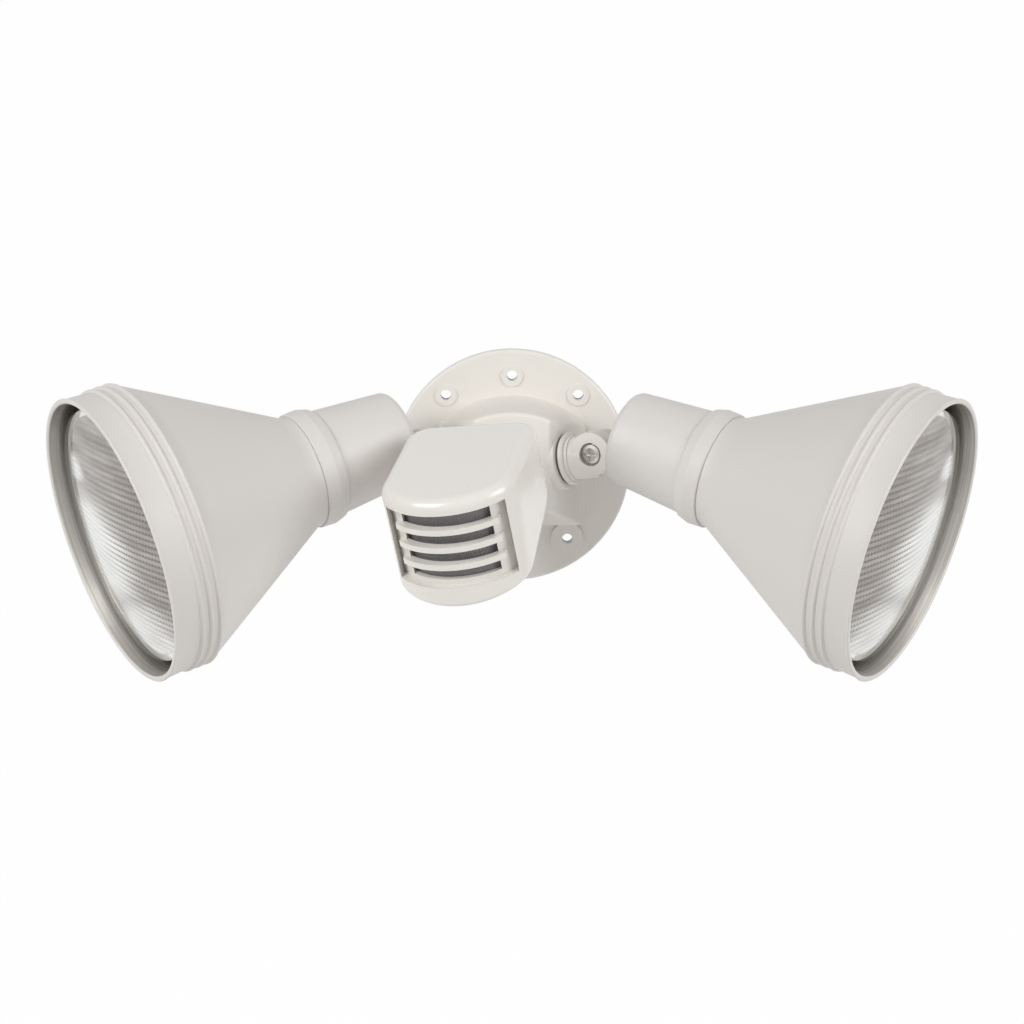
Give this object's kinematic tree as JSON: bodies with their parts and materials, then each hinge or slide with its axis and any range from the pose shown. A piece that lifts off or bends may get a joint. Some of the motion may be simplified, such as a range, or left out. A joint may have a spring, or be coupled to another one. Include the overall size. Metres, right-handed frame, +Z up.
{
  "type": "motion sensor security light",
  "caption": "Wall security light: round cover plate with a housing, cone-shaded flood lamps on knuckle arms, and a motion sensor head on its own swivel arm.",
  "frame": {"origin": "middle of the round plate, on the wall face", "axes": "+Z up, the front looks along -Y, +X to the viewer's right"},
  "size_m": [0.435, 0.1715, 0.1374],
  "materials": {
    "plate_paint": "satin white enamel on die-cast aluminium",
    "lamp_paint": "fine-textured white enamel on spun and cast aluminium",
    "gasket_foam": "closed-cell foam rubber",
    "seal_rubber": "matt rubber",
    "green_steel": "green-dyed zinc plate on steel",
    "zinc_steel": "zinc-plated steel",
    "socket_ceramic": "unglazed porcelain",
    "shell_metal": "rolled thread sheet",
    "contact_brass": "spring brass",
    "base_metal": "rolled aluminium",
    "reflector_glass": "aluminised pressed glass",
    "lens_glass": "clear prismatic pressed glass",
    "capsule_glass": "clear halogen capsule",
    "head_plastic": "glossy off-white moulded plastic",
    "lens_plastic": "smoke-grey ribbed sheet",
    "inner_plastic": "black moulded plastic",
    "board_laminate": "green solder mask",
    "relay_plastic": "blue moulded case",
    "film_plastic": "yellow film capacitor case",
    "resistor_body": "grey-blue lacquer",
    "can_steel": "nickel-plated can",
    "indicator_red": "red diffused lens",
    "cell_plastic": "amber-brown window",
    "knob_plastic": "dark grey moulded plastic"
  },
  "bodies": {
    "base": {"wall_plate": "plate_paint", "wall_gasket": "gasket_foam", "ground_screw": "green_steel", "port_seal_left": "seal_rubber", "port_locknut_left": "plate_paint", "port_seal_right": "seal_rubber", "port_locknut_right": "plate_paint", "port_seal_sensor": "seal_rubber", "port_locknut_sensor": "plate_paint"},
    "arm_left": {"lamp_arm_left": "plate_paint", "knuckle_screw_left": "zinc_steel", "knuckle_washer_left": "zinc_steel"},
    "lamp_left": {"lamp_holder_left": "lamp_paint", "shade_left": "lamp_paint", "shade_collar_left": "lamp_paint", "bulb_gasket_left": "seal_rubber", "socket_insulator_left": "socket_ceramic", "screw_shell_left": "shell_metal", "centre_contact_left": "contact_brass", "bulb_reflector_left": "reflector_glass", "bulb_lens_left": "lens_glass", "bulb_base_left": "base_metal", "bulb_capsule_left": "capsule_glass"},
    "arm_right": {"lamp_arm_right": "plate_paint", "knuckle_screw_right": "zinc_steel", "knuckle_washer_right": "zinc_steel"},
    "lamp_right": {"lamp_holder_right": "lamp_paint", "shade_right": "lamp_paint", "shade_collar_right": "lamp_paint", "bulb_gasket_right": "seal_rubber", "socket_insulator_right": "socket_ceramic", "screw_shell_right": "shell_metal", "centre_contact_right": "contact_brass", "bulb_reflector_right": "reflector_glass", "bulb_lens_right": "lens_glass", "bulb_base_right": "base_metal", "bulb_capsule_right": "capsule_glass"},
    "sensor_swivel": {"sensor_arm": "plate_paint", "sensor_knuckle_screw": "zinc_steel", "sensor_knuckle_nut": "zinc_steel"},
    "sensor_head": {"sensor_stalk": "head_plastic", "sensor_shell": "head_plastic", "sensor_back": "head_plastic", "cover_screws": "zinc_steel", "fresnel_lens": "lens_plastic", "lens_retainer": "inner_plastic", "pir_sensor": "can_steel", "sensor_board": "board_laminate", "relay": "relay_plastic", "film_capacitor": "film_plastic", "power_resistor": "resistor_body", "photocell": "cell_plastic", "test_lamp": "indicator_red", "time_pot": "relay_plastic", "range_pot": "relay_plastic"},
    "time_dial": {"time_knob": "knob_plastic"},
    "range_dial": {"range_knob": "knob_plastic"}
  },
  "joints": [
    {"name": "arm_left_swivel", "type": "hinge", "parent": "base", "child": "arm_left", "pos_m": [-0.02438, -0.027, 0.0074], "axis": [-0.8679, -0.4615, 0.184], "range_deg": [-45, 15]},
    {"name": "lamp_left_tilt", "type": "hinge", "parent": "arm_left", "child": "lamp_left", "pos_m": [-0.04141, -0.03606, 0.01304], "axis": [-0.4695, 0.8829, 0], "range_deg": [-40, 15]},
    {"name": "arm_right_swivel", "type": "hinge", "parent": "base", "child": "arm_right", "pos_m": [0.02438, -0.027, 0.0074], "axis": [0.8679, -0.4615, 0.184], "range_deg": [-15, 45]},
    {"name": "lamp_right_tilt", "type": "hinge", "parent": "arm_right", "child": "lamp_right", "pos_m": [0.04141, -0.03606, 0.01304], "axis": [-0.4695, -0.8829, 0], "range_deg": [-40, 15]},
    {"name": "sensor_swivel_turn", "type": "hinge", "parent": "base", "child": "sensor_swivel", "pos_m": [0, -0.03, -0.02001], "axis": [0, -0.4067, -0.9135], "range_deg": [-30, 0]},
    {"name": "sensor_head_tilt", "type": "hinge", "parent": "sensor_swivel", "child": "sensor_head", "pos_m": [0, -0.03692, -0.03554], "axis": [0.9613, -0.2518, 0.1121], "range_deg": [0, 30]},
    {"name": "time_dial_turn", "type": "hinge", "parent": "sensor_head", "child": "time_dial", "pos_m": [-0.03068, -0.10177, -0.02159], "axis": [0.2245, 0.4793, -0.8484], "range_deg": [-135, 135]},
    {"name": "range_dial_turn", "type": "hinge", "parent": "sensor_head", "child": "range_dial", "pos_m": [-0.00569, -0.10831, -0.01867], "axis": [0.2245, 0.4793, -0.8484], "range_deg": [-135, 135]}
  ]
}
